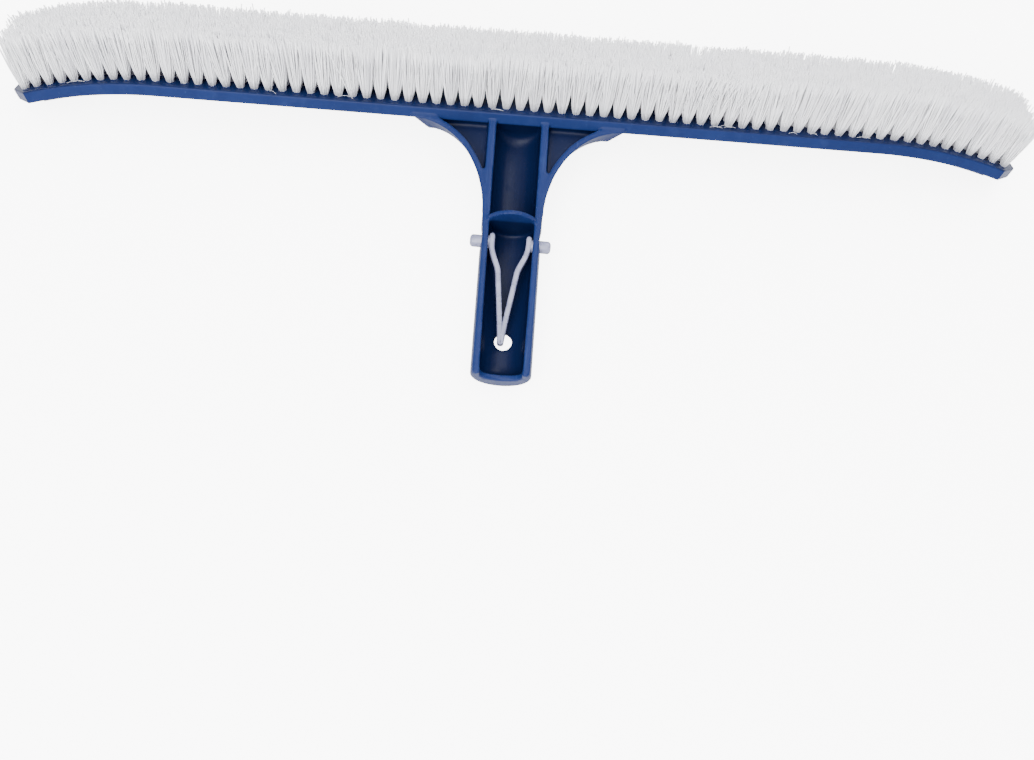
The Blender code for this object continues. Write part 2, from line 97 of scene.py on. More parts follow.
# Bristles
FILAMENTS = 60                      # in each tuft
FILAMENT_R = 0.25 * MM
FILAMENT_RINGS = 5
TUFT_LENGTH = 24.6 * MM
TUFT_ROOT_R = 1.15 * MM
TUFT_TIP_ALONG = 3.9 * MM           # half the room that a tuft's tips take along its row
TUFT_TIP_ACROSS = 3.5 * MM
TUFT_FOLLOW_NEAR = 0.25             # share of the plate's own turn that the end tufts take, in the
TUFT_FOLLOW_FAR = 0.50              # nearest and in the furthest row
ROW_FAN = math.radians(8.0)
RIGHT_LEAN = math.radians(3.0)      # lean of the tufts in the right half
RIGHT_LEAN_START = 30 * MM
RIGHT_LEAN_GROWTH = 90 * MM
ROOT_DEPTH = 1.2 * MM
SEED_ANGLE = 2.39996                # radians from one sunflower seed to the next
TUFT_SPREAD = 2.6                   # how soon a tuft opens: the power in its spread
TUFT_LEAN_SPREAD = 0.030            # radians by which whole tufts lean at random
TUFT_FAN_SPREAD = 0.035
FILAMENT_SWAY = 0.035               # share of its length by which a filament's tip strays
STRAY_SHARE = 0.03                  # of the filaments, that stray further
STRAY_SWAY = 0.13
FILAMENT_LENGTH_SPREAD = 0.010
TUFT_LENGTH_SPREAD = 0.008
WISPS = 10
WISP_R = 0.08 * MM
MESS = 0.09                         # extra sway of the near rows where the pile has been ruffled
MESS_ARC = 82.0 * MM
MESS_WIDTH = 17.0 * MM

# Clip
CLIP_DEPTH = 5.4 * MM
CLIP_EDGE = 0.6 * MM
LEG_THICKNESS = 2.3 * MM
LEG_START = 12.6 * MM               # distances from the apex along the clip
LEG_START_OFFSET = 1.55 * MM
LEG_STRAIGHT_END = 31.0 * MM
LEG_STRAIGHT_OFFSET = 4.0 * MM
LEG_WALL_START = 43.5 * MM
LEG_WALL_OFFSET = 7.85 * MM
LEG_END = 47.2 * MM
CLIP_REACH = 44.2 * MM
BOW_TIP_OFFSET = 0.20 * MM          # of each half of the apex from the clip's middle line
BUTTON_R = 2.7 * MM
BUTTON_TIP_X = 17.4 * MM
BUTTON_DOME = 1.5 * MM


def unit(vector):
    return np.asarray(vector, float) / np.linalg.norm(vector)


record = frame["record"]
mounts = {mount["name"]: mount for mount in record["mounts"]}
joints = {joint["name"]: joint for joint in record["behaviour"]["joints"]}

SIDE = np.array((1.0, 0.0, 0.0))
ALONG = -unit(mounts["shank_end"]["axis"])
RISE = np.cross(SIDE, ALONG)
HANDLE_ORIGIN = (np.array(mounts["shank_end"]["pos_m"])
                 + SHANK_LENGTH * ALONG + SHANK_FACE_DROP * RISE)
HEAD_UP = -unit(mounts["plate_back"]["axis"])
HEAD_ACROSS = np.cross(HEAD_UP, SIDE)
HEAD_CORNER = HANDLE_ORIGIN + HEAD_CORNER_RISE * RISE

left_foot = np.array(joints["left_button_press"]["pos_m"])
right_foot = np.array(joints["right_button_press"]["pos_m"])
CLIP_RISE = unit(joints["right_button_press"]["axis"])
CLIP_SIDE = unit(right_foot - left_foot)
CLIP_SIDE = unit(CLIP_SIDE - CLIP_RISE * CLIP_SIDE.dot(CLIP_RISE))
CLIP_ALONG = np.cross(CLIP_RISE, CLIP_SIDE)
CLIP_APEX = (left_foot + right_foot) / 2 - LEG_START * CLIP_ALONG


# Meshes -----------------------------------------------------------------------------------------

def make_piece(name, points, faces, material):
    """A smooth-shaded piece at the origin from an array of points and a list of faces."""
    mesh = bpy.data.meshes.new(name)
    mesh.from_pydata(points, [], faces)
    mesh.shade_smooth()
    mesh.materials.append(material)
    piece = bpy.data.objects.new(name, mesh)
    bpy.context.collection.objects.link(piece)
    return piece


def tube(rings):
    """Points and faces of a closed skin through rings of equal size.

    Ring i and ring i + 1 are joined by quads, and each end is closed by a fan to its ring's middle.
    """
    count, size = rings.shape[:2]
    points = np.concatenate([rings.reshape(-1, 3), rings[:1].mean(1), rings[-1:].mean(1)])
    i, j = np.meshgrid(np.arange(count - 1), np.arange(size), indexing="ij")
    low, following = i * size, (j + 1) % size
    quads = np.stack([low + j, low + following, low + size + following, low + size + j], -1)
    around = np.arange(size)
    ahead = (around + 1) % size
    first = np.stack([np.full(size, count * size), ahead, around], -1)
    base = (count - 1) * size
    last = np.stack([np.full(size, count * size + 1), base + around, base + ahead], -1)
    return points, quads.reshape(-1, 4).tolist() + first.tolist() + last.tolist()


def joined(parts):
    """Several skins' points and faces as one."""
    points, faces, start = [], [], 0
    for part_points, part_faces in parts:
        points.append(part_points)
        faces += [[start + k for k in face] for face in part_faces]
        start += len(part_points)
    return np.concatenate(points), faces


def faces_outward(piece):
    shell = bmesh.new()
    shell.from_mesh(piece.data)
    bmesh.ops.recalc_face_normals(shell, faces=shell.faces)
    shell.to_mesh(piece.data)
    shell.free()
    return piece


def rounded_outline(half_width, half_height, radius, steps=6):
    """A rectangle about zero with round corners, as (n, 2) points.

    Each corner is a quarter circle, with one more point just off each of its ends to hold the flats.
    """
    turns = np.linspace(0.0, math.pi / 2, steps)
    hold = 0.35 * radius
    points = []
    for corner, (sx, sy) in enumerate(((1, 1), (-1, 1), (-1, -1), (1, -1))):
        a = turns + corner * math.pi / 2
        centre = np.array((sx * (half_width - radius), sy * (half_height - radius)))
        arc = centre + radius * np.stack([np.cos(a), np.sin(a)], -1)
        before = arc[0] + hold * np.array((math.sin(a[0]), -math.cos(a[0])))
        after = arc[-1] + hold * np.array((-math.sin(a[-1]), math.cos(a[-1])))
        points += [before[None], arc, after[None]]
    return np.concatenate(points)


# Head -------------------------------------------------------------------------------------------

def head_points(arc, across, height):
    """Points of the head for arrays of distances along it, across it and off its back.

    Past the straight middle the plate follows a circle about a point behind it: x is the straight
    length plus (radius + height) sin turn, and the rise is (radius + height) cos turn less radius.
    """
    turn = np.sign(arc) * np.maximum(np.abs(arc) - PLATE_STRAIGHT, 0.0) / PLATE_END_RADIUS
    x = np.clip(arc, -PLATE_STRAIGHT, PLATE_STRAIGHT) + (PLATE_END_RADIUS + height) * np.sin(turn)
    up = (PLATE_END_RADIUS + height) * np.cos(turn) - PLATE_END_RADIUS
    return (HEAD_CORNER + x[..., None] * SIDE + across[..., None] * HEAD_ACROSS
            + up[..., None] * HEAD_UP)


def tuft_arcs(place):
    """Distance along the plate of places in a row, counted in tufts from the middle."""
    inner = np.minimum(np.abs(place), (TUFTS_PER_ROW - 1) / 2 - END_TUFTS)
    outer = np.abs(place) - inner
    return np.sign(place) * (inner * TUFT_PITCH + outer * END_TUFT_PITCH)


def bar(half_length, corner, near, far, bottom, top, edge):
    """A bar along the bent head: a rounded rectangle carried from end to end.

    The rectangle draws in as a quarter circle over the last edge's length, and in plan in a straight
    line over the corner's length.
    """
    tip = half_length - edge * (1 - np.cos(np.linspace(0.0, math.pi / 2, 6)))
    corners = half_length - corner * (1 - np.cos(np.linspace(0.3, math.pi / 2, 12)))
    straight = np.linspace(half_length - corner, 0.0, 90)
    half = np.unique(np.concatenate([tip, corners, straight]))
    arcs = np.concatenate([-half[::-1], half[1:]])
    rings = []
    for arc in arcs:
        into_tip = max(abs(arc) - (half_length - edge), 0.0)
        draw = edge - math.sqrt(max(edge ** 2 - into_tip ** 2, 0.0))
        cut = max(abs(arc) - (half_length - corner), 0.0)
        inset = cut + draw * 0.4
        half_width = (far - near) / 2 - inset
        half_height = (top - bottom) / 2 - draw * 0.98
        outline = rounded_outline(half_width, half_height, min(edge, half_height * 0.96))
        across = outline[:, 0] + (near + far) / 2
        height = outline[:, 1] + (bottom + top) / 2
        rings.append(head_points(np.full(len(outline), arc), across, height))
    return tube(np.array(rings))


def make_plate(material):
    """The head plate with the raised middle of its back.

    Its painted shade attribute is FACE_SHADE on the bristles' face, found from how high a point stands
    once the bend's drop, radius - sqrt(radius^2 - x^2), is given back.
    """
    half = tuft_arcs(np.array((TUFTS_PER_ROW - 1) / 2)) + PLATE_OVERHANG
    plate = bar(half + COVER, PLATE_CORNER, -COVER, PLATE_WIDTH + COVER,
                -COVER, PLATE_THICKNESS + COVER, PLATE_EDGE)
    spine = bar(half - SPINE_INSET, SPINE_INSET, SPINE_INSET - COVER,
                PLATE_WIDTH - SPINE_INSET + COVER, -SPINE_HEIGHT - COVER, 1.5 * MM, PLATE_EDGE)
    points, faces = joined([plate, spine])
    piece = faces_outward(make_piece("head_plate", points, faces, material))
    piece.data.set_sharp_from_angle(angle=SHARP_ANGLE)
    up = (points - HEAD_CORNER) @ HEAD_UP
    back = head_points(np.zeros(1), np.zeros(1), np.full(1, PLATE_THICKNESS))[0] - HEAD_CORNER
    x = points @ SIDE
    sunk = PLATE_END_RADIUS - np.sqrt(np.maximum(PLATE_END_RADIUS ** 2 - np.maximum(
        np.abs(x) - PLATE_STRAIGHT, 0.0) ** 2, 0.0))
    face = np.clip((up + sunk - back @ HEAD_UP + FACE_DEPTH) / FACE_DEPTH, 0.0, 1.0)
    # painted shade on the plate's face among the bristles
    made = piece.data.attributes.new("hollow_shade", "FLOAT", "POINT")
    made.data.foreach_set("value", (FACE_SHADE * face).astype(np.float32))
    return piece


def make_hole_rims(material):
    """The raised lip round every tuft hole: a small arch carried round a circle.

    The arch's radius is its middle radius plus half its width times cos b, and its height
    LIP_HEIGHT times sin b, b from 0 to a half turn. A flat underside closes it.
    """
    places, rows = np.meshgrid(np.arange(TUFTS_PER_ROW) - (TUFTS_PER_ROW - 1) / 2,
                               np.arange(ROWS) - (ROWS - 1) / 2, indexing="ij")
    arc = tuft_arcs(places.ravel())[:, None, None]
    row_across = (PLATE_WIDTH / 2 + rows.ravel() * ROW_PITCH)[:, None, None]
    around = np.linspace(0.0, 2 * math.pi, LIP_SIDES, endpoint=False)[None, :, None]
    arch = np.linspace(0.0, math.pi, 4)[None, None, :]
    radius = LIP_R + LIP_WIDTH / 2 * np.cos(arch)
    along = arc + radius * np.cos(around)
    across = row_across + radius * np.sin(around)
    height = PLATE_THICKNESS + COVER - LIP_SINK + LIP_HEIGHT * np.sin(arch) + 0 * along
    points = head_points(along, across, height).reshape(-1, 3)
    rim = (np.arange(arc.size) * LIP_SIDES * 4)[:, None, None]
    side = np.arange(LIP_SIDES)[None, :, None]
    step = np.arange(4)[None, None, :]
    following = (step + 1) % 4
    here, ahead = rim + side * 4, rim + (side + 1) % LIP_SIDES * 4
    quads = np.stack([here + step, here + following, ahead + following, ahead + step], -1)
    quads = quads.reshape(-1, 4)
    return faces_outward(make_piece("tuft_hole_lips", points, quads.tolist(), material))


def make_wisps(material):
    """Loose filaments caught at the feet of the nearest row, each lying in a shallow arc.

    A wisp's point is its start plus its length times (t cos a, t sin a), lifted by a low parabola
    4 t (1 - t), with a small sideways curl of the same form.
    """
    chance = np.random.default_rng(7)
    arc = chance.uniform(-0.20, 0.20, WISPS)
    arc[:3] = chance.normal(MESS_ARC, MESS_WIDTH, 3)
    length = chance.uniform(3.0, 8.0, WISPS) * MM
    angle = chance.normal(0.0, 0.45, WISPS)
    curl = chance.normal(0.0, 0.9, WISPS) * MM
    t = np.linspace(0.0, 1.0, 7)[None, :]
    bulge = 4 * t * (1 - t)
    along = arc[:, None] + length[:, None] * t * np.cos(angle)[:, None]
    across = (chance.uniform(2.0, 3.6, WISPS) * MM)[:, None] + bulge * curl[:, None] * 0.6
    across = across + length[:, None] * t * np.sin(angle)[:, None] * 0.3
    height = PLATE_THICKNESS + COVER + FILAMENT_R * 0.8 + bulge * 0.7 * MM
    line = head_points(along, across, height + 0 * along)
    turn = np.arange(3) * 2 * math.pi / 3
    circle = np.cos(turn)[:, None] * HEAD_ACROSS + np.sin(turn)[:, None] * HEAD_UP
    parts = [tube(rings) for rings in line[:, :, None, :] + WISP_R * circle[None, None]]
    points, faces = joined(parts)
    piece = faces_outward(make_piece("loose_wisps", points, faces, material))
    for attribute in ("tone", "height"):
        made = piece.data.attributes.new(attribute, "FLOAT", "POINT")
        made.data.foreach_set("value", np.full(len(points), 0.8, np.float32))
    return piece


# Handle -----------------------------------------------------------------------------------------

def mark_hollow_shade(piece):
    """Painted shade attribute: 1 on the skin inside the troughs and the pockets, 0 on the outer skin.

    A trough's skin is near the shank's axis and under the rim. A pocket's skin is under the rim,
    over its floor, beyond its inner wall and outside the ellipse that the flare's rim follows.
    """
    places = np.empty(3 * len(piece.data.vertices), np.float32)
    piece.data.vertices.foreach_get("co", places)
    places = places.reshape(-1, 3).astype(float) - HANDLE_ORIGIN
    x, y, z = np.abs(places @ SIDE), places @ ALONG, places @ RISE
    under_rim = np.clip((RIM_RISE - 0.4 * MM - z) / (1.2 * MM), 0.0, 1.0)
    near_axis = np.clip((HOLLOW_R - np.hypot(x, z)) / (0.5 * MM), 0.0, 1.0)
    trough = near_axis * (y > HOLLOW_END)
    (cx, cy), (ax, ay) = POCKET_CENTRE, POCKET_HALF_AXES
    beyond = np.hypot((x - cx) / ax, (y - cy) / ay)
    pocket = (np.clip((beyond - 1.0) / 0.01, 0.0, 1.0) * (z > POCKET_FLOOR_RISE)
              * (x > POCKET_INNER_X) * (x < cx) * (y > cy))
    pocket = np.where(beyond > 1.0, pocket, 0.0)
    made = piece.data.attributes.new("hollow_shade", "FLOAT", "POINT")
    made.data.foreach_set("value", (np.maximum(trough, pocket) * under_rim).astype(np.float32))


def make_handle(material):
    """The handle with its yoke, troughs and pockets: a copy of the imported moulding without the
    head's ends, its skin rebuilt in small cells and smoothed so that every edge is softly round.
    """
    source = frame["nodes"]["brush_body"]
    mesh = source.data.copy()
    mesh.transform(source.matrix_world)
    shell = bmesh.new()
    shell.from_mesh(mesh)
    bmesh.ops.remove_doubles(shell, verts=shell.verts, dist=1e-6)
    shell.to_mesh(mesh)
    shell.free()
    mesh.materials.clear()
    rough = bpy.data.objects.new("handle_rough", mesh)
    bpy.context.collection.objects.link(rough)
    bpy.ops.mesh.primitive_cube_add(size=1.0)
    keep = bpy.context.object
    keep.dimensions = (2 * HANDLE_HALF_WIDTH, 1.0, 1.0)
    cut = rough.modifiers.new("keep middle", "BOOLEAN")
    cut.operation = "INTERSECT"
    cut.object = keep
    cut.solver = "EXACT"
    skin = rough.modifiers.new("skin", "REMESH")
    skin.mode = "VOXEL"
    skin.voxel_size = HANDLE_GRAIN
    soft = rough.modifiers.new("soft edges", "SMOOTH")
    soft.factor = 0.5
    soft.iterations = HANDLE_SMOOTHING
    graph = bpy.context.evaluated_depsgraph_get()
    finished = bpy.data.meshes.new_from_object(rough.evaluated_get(graph))
    for helper in (rough, keep):
        bpy.data.objects.remove(helper, do_unlink=True)
    finished.name = "handle"
    finished.materials.clear()
    finished.materials.append(material)
    finished.shade_smooth()
    piece = bpy.data.objects.new("handle", finished)
    bpy.context.collection.objects.link(piece)
    mark_hollow_shade(piece)
    return piece


# Bristles ---------------------------------------------------------------------------------------

def make_filaments(name, row, first, count, material, seed):
    """The filaments of neighbouring tufts in one row.

    Filament k of a tuft starts at sunflower place k in the hole and ends at the same place in a
    wider patch. It spreads as 1 - (1 - t)^TUFT_SPREAD of the way while it rises, t from 0 to 1, and sways
    by t squared times its own small lean. Each is a three-sided tube.
    """
    chance = np.random.default_rng(seed)
    tuft = np.repeat(np.arange(count), FILAMENTS)
    k = np.tile(np.arange(FILAMENTS), count)
    total = len(k)
    place = first + tuft
    middle_row = (ROWS - 1) / 2
    level = (row - middle_row) / middle_row

    def per_tuft(spread):
        return chance.normal(0.0, spread, count)[tuft]

    reach = np.sqrt((k + 0.5) / FILAMENTS)
    angle = k * SEED_ANGLE + chance.uniform(0.0, 2 * math.pi, count)[tuft]
    round_along, round_across = reach * np.cos(angle), reach * np.sin(angle)
    arc = tuft_arcs(place.astype(float))
    turn = np.sign(arc) * np.maximum(np.abs(arc) - PLATE_STRAIGHT, 0.0) / PLATE_END_RADIUS
    right = np.clip((arc - RIGHT_LEAN_START) / RIGHT_LEAN_GROWTH, 0.0, 1.0)
    follow = TUFT_FOLLOW_NEAR + (TUFT_FOLLOW_FAR - TUFT_FOLLOW_NEAR) * (level + 1) / 2
    lean = follow * turn + RIGHT_LEAN * right + per_tuft(TUFT_LEAN_SPREAD)
    fan = ROW_FAN * level + per_tuft(TUFT_FAN_SPREAD)
    stray = chance.uniform(size=total) < STRAY_SHARE
    ruffled = MESS * np.exp(-((arc - MESS_ARC) / MESS_WIDTH) ** 2) * (level < 0)
    sway_spread = np.where(stray, STRAY_SWAY, FILAMENT_SWAY) + ruffled
    sway_along = chance.normal(0.0, 1.0, total) * sway_spread
    sway_across = chance.normal(0.0, 1.0, total) * sway_spread
    length = TUFT_LENGTH * (1 + chance.normal(0.0, FILAMENT_LENGTH_SPREAD, total)
                            + per_tuft(TUFT_LENGTH_SPREAD))

    t = np.linspace(0.0, 1.0, FILAMENT_RINGS)[None, :]
    spread = 1 - (1 - t) ** TUFT_SPREAD
    root_along = (TUFT_ROOT_R * round_along)[:, None]
    root_across = (TUFT_ROOT_R * round_across)[:, None]
    tip_along = (TUFT_TIP_ALONG * round_along)[:, None]
    tip_across = (TUFT_TIP_ACROSS * round_across)[:, None]
    rise = length[:, None] * t - ROOT_DEPTH * (1 - t)
    along = (root_along + (tip_along - root_along) * spread
             + rise * np.sin(lean)[:, None] + length[:, None] * sway_along[:, None] * t ** 2)
    across = (root_across + (tip_across - root_across) * spread
              + rise * np.sin(fan)[:, None] + length[:, None] * sway_across[:, None] * t ** 2)
    up = rise * (np.cos(lean) * np.cos(fan))[:, None]
    row_across = PLATE_WIDTH / 2 + (row - middle_row) * ROW_PITCH
    root = head_points(arc, np.full(total, row_across), np.full(total, PLATE_THICKNESS))
    line = (root[:, None, :] + along[..., None] * SIDE + across[..., None] * HEAD_ACROSS
            + up[..., None] * HEAD_UP)

    corner = np.arange(3) * 2 * math.pi / 3
    turned = corner[None, :] + chance.uniform(0.0, math.pi, total)[:, None]
    around = (np.cos(turned)[..., None] * SIDE + np.sin(turned)[..., None] * HEAD_ACROSS)
    points = line[:, :, None, :] + FILAMENT_R * around[:, None, :, :]

    start = (np.arange(total) * FILAMENT_RINGS * 3)[:, None, None]
    ring = (np.arange(FILAMENT_RINGS - 1) * 3)[None, :, None]
    here, following = np.arange(3)[None, None, :], (np.arange(3)[None, None, :] + 1) % 3
    quads = np.stack([start + ring + here, start + ring + following,
                      start + ring + 3 + following, start + ring + 3 + here], -1)
    last = start[:, 0, 0] + (FILAMENT_RINGS - 1) * 3
    tips = np.stack([last, last + 1, last + 2], -1)
    bottoms = np.stack([start[:, 0, 0] + 2, start[:, 0, 0] + 1, start[:, 0, 0]], -1)
    faces = quads.reshape(-1, 4).tolist() + tips.tolist() + bottoms.tolist()
    piece = make_piece(name, points.reshape(-1, 3), faces, material)
    tone = np.repeat(chance.uniform(size=total) * 0.6 + 0.4 * per_tuft(0.4), FILAMENT_RINGS * 3)
    height = np.tile(np.repeat(t[0], 3), total)
    for attribute, values in (("tone", tone), ("height", height)):
        made = piece.data.attributes.new(attribute, "FLOAT", "POINT")
        made.data.foreach_set("value", values.astype(np.float32))
    return piece


# Clip -------------------------------------------------------------------------------------------

def clip_points(x, y, z):
    """Points of the clip: sideways from its middle line, along it from the apex, and up."""
    return (CLIP_APEX + x[..., None] * CLIP_SIDE + y[..., None] * CLIP_ALONG
            + z[..., None] * CLIP_RISE)


def flat_bar(middle, half_widths, half_depth, edge):
    """A rounded rectangle carried along a line in the clip's plane.

    Its width lies square to the line and follows half_widths; its depth is along the clip's rise.
    """
    ahead = np.gradient(middle, axis=0)
    ahead /= np.linalg.norm(ahead, axis=1)[:, None]
    normal = np.stack([ahead[:, 1], -ahead[:, 0]], -1)
    rings = []
    for point, square, half in zip(middle, normal, half_widths):
        depth = half_depth - edge * (1 - min(1.0, half / edge)) * 0.6
        outline = rounded_outline(max(half, 0.02 * MM), depth, min(edge, half * 0.96 + 0.01 * MM))
        flat = point + outline[:, :1] * square
        rings.append(clip_points(flat[:, 0], flat[:, 1], outline[:, 1]))
    return tube(np.array(rings))


def smooth_step(share):
    share = np.clip(share, 0.0, 1.0)
    return share * share * (3 - 2 * share)


def make_leg(name, side, material):
    """A leg: a flat bar that runs straight, then swings out to the trough's wall."""
    half = LEG_THICKNESS / 2
    reach = np.linspace(LEG_START - 1.0 * MM, LEG_END + half * 0.6, 60)
    share = (reach - LEG_START) / (LEG_STRAIGHT_END - LEG_START)
    straight = LEG_START_OFFSET + share * (LEG_STRAIGHT_OFFSET - LEG_START_OFFSET)
    smooth = smooth_step((reach - LEG_STRAIGHT_END) / (LEG_WALL_START - LEG_STRAIGHT_END))
    offset = straight * (1 - smooth) + LEG_WALL_OFFSET * smooth
    to_end = np.clip((reach[-1] - reach) / half, 0.0, 1.0)
    from_start = np.clip((reach - reach[0]) / half, 0.0, 1.0)
    ends = np.sqrt(1 - (1 - to_end) ** 2) * np.sqrt(1 - (1 - from_start) ** 2)
    middle = np.stack([side * offset, reach], -1)
    points, faces = flat_bar(middle, half * ends, CLIP_DEPTH / 2, CLIP_EDGE)
    return faces_outward(make_piece(name, points, faces, material))


def make_bow(material):
    """The apex: two flat bars that leave one round tip and part on their way to the legs' feet."""
    half = LEG_THICKNESS / 2
    reach = np.linspace(0.0, LEG_START - 0.4 * MM, 44)
    share = reach / LEG_START
    offset = BOW_TIP_OFFSET + (LEG_START_OFFSET - BOW_TIP_OFFSET) * share ** 1.2
    ends = np.sqrt(1 - (1 - np.clip(reach / half, 0.0, 1.0)) ** 2)
    prongs = []
    for side in (-1, 1):
        middle = np.stack([side * offset, reach], -1)
        prongs.append(flat_bar(middle, half * ends, CLIP_DEPTH / 2, CLIP_EDGE))
    points, faces = joined(prongs)
    return faces_outward(make_piece("clip_apex", points, faces, material))


def make_button(name, side, material):
    """A round button turned about its own axis: a straight flank and a rounded, domed head."""
    foot = LEG_WALL_OFFSET + LEG_THICKNESS / 2 - 0.8 * MM
    flank = np.linspace(foot, BUTTON_TIP_X - BUTTON_DOME, 6)
    turn = np.linspace(0.0, math.pi / 2 - 0.05, 12)
    x = np.concatenate([flank, BUTTON_TIP_X - BUTTON_DOME * (1 - np.sin(turn[1:]))])
    radius = np.concatenate([np.full(len(flank), BUTTON_R), BUTTON_R * np.cos(turn[1:]) ** 0.6])
    around = np.linspace(0.0, 2 * math.pi, 36, endpoint=False)
    along = CLIP_REACH + radius[:, None] * np.cos(around)
    up = radius[:, None] * np.sin(around)
    points, faces = tube(clip_points(side * x[:, None] + 0 * along, along, up))
    return faces_outward(make_piece(name, points, faces, material))


# Materials --------------------------------------------------------------------------------------

class Value:
    """A shader socket that takes part in sums: each operator adds the Math node that works it out."""

    def __init__(self, finish, socket):
        self.finish = finish
        self.socket = socket

    def sum_with(self, operation, first, second):
        node = self.finish.node("ShaderNodeMath", {"operation": operation}, {0: first, 1: second})
        return Value(self.finish, node.outputs[0])

    def __add__(self, other):
        return self.sum_with("ADD", self, other)

    __radd__ = __add__

    def __sub__(self, other):
        return self.sum_with("SUBTRACT", self, other)

    def __rsub__(self, other):
        return self.sum_with("SUBTRACT", other, self)

    def __mul__(self, other):
        return self.sum_with("MULTIPLY", self, other)

    __rmul__ = __mul__


class Finish:
    """One material with its Principled shader, and the nodes that feed it."""

    def __init__(self, name, colour, roughness, **constants):
        self.material = bpy.data.materials.new(name)
        self.material.use_nodes = True
        self.tree = self.material.node_tree
        self.shader = self.tree.nodes["Principled BSDF"]
        self.set(self.shader, "Base Color", (*colour, 1.0))
        self.set(self.shader, "Roughness", roughness)
        for socket, value in constants.items():
            self.set(self.shader, socket.replace("_", " "), value)
        place = self.tree.nodes.new("ShaderNodeTexCoord")
        self.place = place.outputs["Object"]

    def set(self, node, key, value):
        """A socket's value, or the link that brings it."""
        socket = value.socket if isinstance(value, Value) else value
        if isinstance(socket, bpy.types.NodeSocket):
            self.tree.links.new(socket, node.inputs[key])
        else:
            node.inputs[key].default_value = socket

    def node(self, kind, settings=None, sockets=None):
        """A node of a kind, with its settings first and then its sockets' values or links."""
        made = self.tree.nodes.new(kind)
        for key, value in (settings or {}).items():
            setattr(made, key, value)
        for key, value in (sockets or {}).items():
            self.set(made, key, value)
        return made

    def noise(self, scale, detail=2.0, stretch=(1.0, 1.0, 1.0), distortion=0.0):
        """Cloudy values about 0.5, with so many cells to the metre along each axis."""
        mapped = self.node("ShaderNodeMapping", None, {"Vector": self.place, "Scale": stretch})
        made = self.node("ShaderNodeTexNoise", None, {
            "Vector": mapped.outputs[0], "Scale": scale, "Detail": detail,
            "Distortion": distortion})
        return Value(self, made.outputs["Fac"])

    def attribute(self, name):
        made = self.node("ShaderNodeAttribute", {"attribute_name": name})
        return Value(self, made.outputs["Fac"])

    def between(self, value, low, high):
        """0 where the value is under low, 1 over high, and smooth between."""
        made = self.node("ShaderNodeMapRange", {"interpolation_type": "SMOOTHSTEP"}, {
            "Value": value, "From Min": low, "From Max": high})
        return Value(self, made.outputs[0])

    def mix(self, share, first, second):
        """A colour between two, by share."""
        made = self.node("ShaderNodeMix", {"data_type": "RGBA"}, {"Factor": share})
        self.set(made, 6, first if isinstance(first, bpy.types.NodeSocket) else (*first, 1.0))
        self.set(made, 7, second if isinstance(second, bpy.types.NodeSocket) else (*second, 1.0))
        return made.outputs[2]

    def bump(self, height, distance, strength=1.0):
        made = self.node("ShaderNodeBump", None, {
            "Height": height, "Distance": distance, "Strength": strength})
        self.set(self.shader, "Normal", made.outputs[0])


BLUE = (0.0078, 0.0185, 0.082)
BLUE_DEEP = (0.0060, 0.0140, 0.066)
BLUE_WORN = (0.030, 0.058, 0.160)
# painted shade for the troughs, the pockets and the plate's face among the bristles
BLUE_HOLLOW_SHADE = (0.0014, 0.0036, 0.0190)


def blue_plastic():
    """Satin moulded polypropylene: faint flow marks along it, fine scratches and a soft grain.

    An attribute paints shade, a darker colour, where the handle is sunk and between the bristles.
    """
    finish = Finish("blue_plastic", BLUE, 0.36, IOR=1.49, Specular_IOR_Level=0.10)
    cloud = finish.noise(28.0, 3.0)
    flow = finish.noise(60.0, 4.0, (3.0, 0.5, 1.0), 0.6)
    scratch = finish.between(finish.noise(900.0, 2.0, (1.0, 0.035, 1.0), 0.3), 0.66, 0.74)
    scuff = finish.between(finish.noise(140.0, 5.0), 0.56, 0.72)
    grain = finish.noise(2600.0, 2.0)
    colour = finish.mix(finish.between(cloud * 0.6 + flow * 0.4, 0.3, 0.7), BLUE_DEEP, BLUE)
    colour = finish.mix(scratch * 0.20 + scuff * 0.07, colour, BLUE_WORN)
    # painted shade: darker in the troughs, the pockets and on the plate's face among the bristles
    colour = finish.mix(finish.attribute("hollow_shade") * 0.85, colour, BLUE_HOLLOW_SHADE)
    finish.set(finish.shader, "Base Color", colour)
    finish.set(finish.shader, "Roughness",
               0.27 + cloud * 0.10 + flow * 0.08 + scuff * 0.12 + scratch * 0.10)
    finish.bump(grain * 0.5 + flow * 0.9 - scratch * 0.35, 0.05 * MM, 0.5)
    return finish.material


BRISTLE_WHITE = (0.965, 0.965, 0.985)
# lavender painted shade, spread over the filaments at random along with their own differing tone
BRISTLE_SHADE = (0.92, 0.92, 0.955)
# painted shade towards the roots of the filaments
BRISTLE_ROOT_SHADE = (0.93, 0.935, 0.97)


def bristle_nylon():
    """White nylon filaments, each its own tone; painted shade makes some lavender and all greyer by the
    root, brightest at the tip.
    """
    finish = Finish("bristle_nylon", BRISTLE_WHITE, 0.42, IOR=1.53)
    tone = finish.attribute("tone")
    height = finish.attribute("height")
    cloud = finish.noise(90.0, 2.0)
    # painted shade: lavender on some filaments at random, and greyer towards the roots
    shade = finish.mix(finish.between(tone + cloud * 0.4, 0.15, 0.75), BRISTLE_SHADE,
                       BRISTLE_WHITE)
    colour = finish.mix(finish.between(height, 0.0, 0.45), BRISTLE_ROOT_SHADE, shade)
    finish.set(finish.shader, "Base Color", colour)
    finish.set(finish.shader, "Roughness", 0.36 + tone * 0.16)
    return finish.material


CLEAR_NYLON = (0.20, 0.21, 0.33)
CLEAR_NYLON_MILKY = (0.29, 0.30, 0.44)


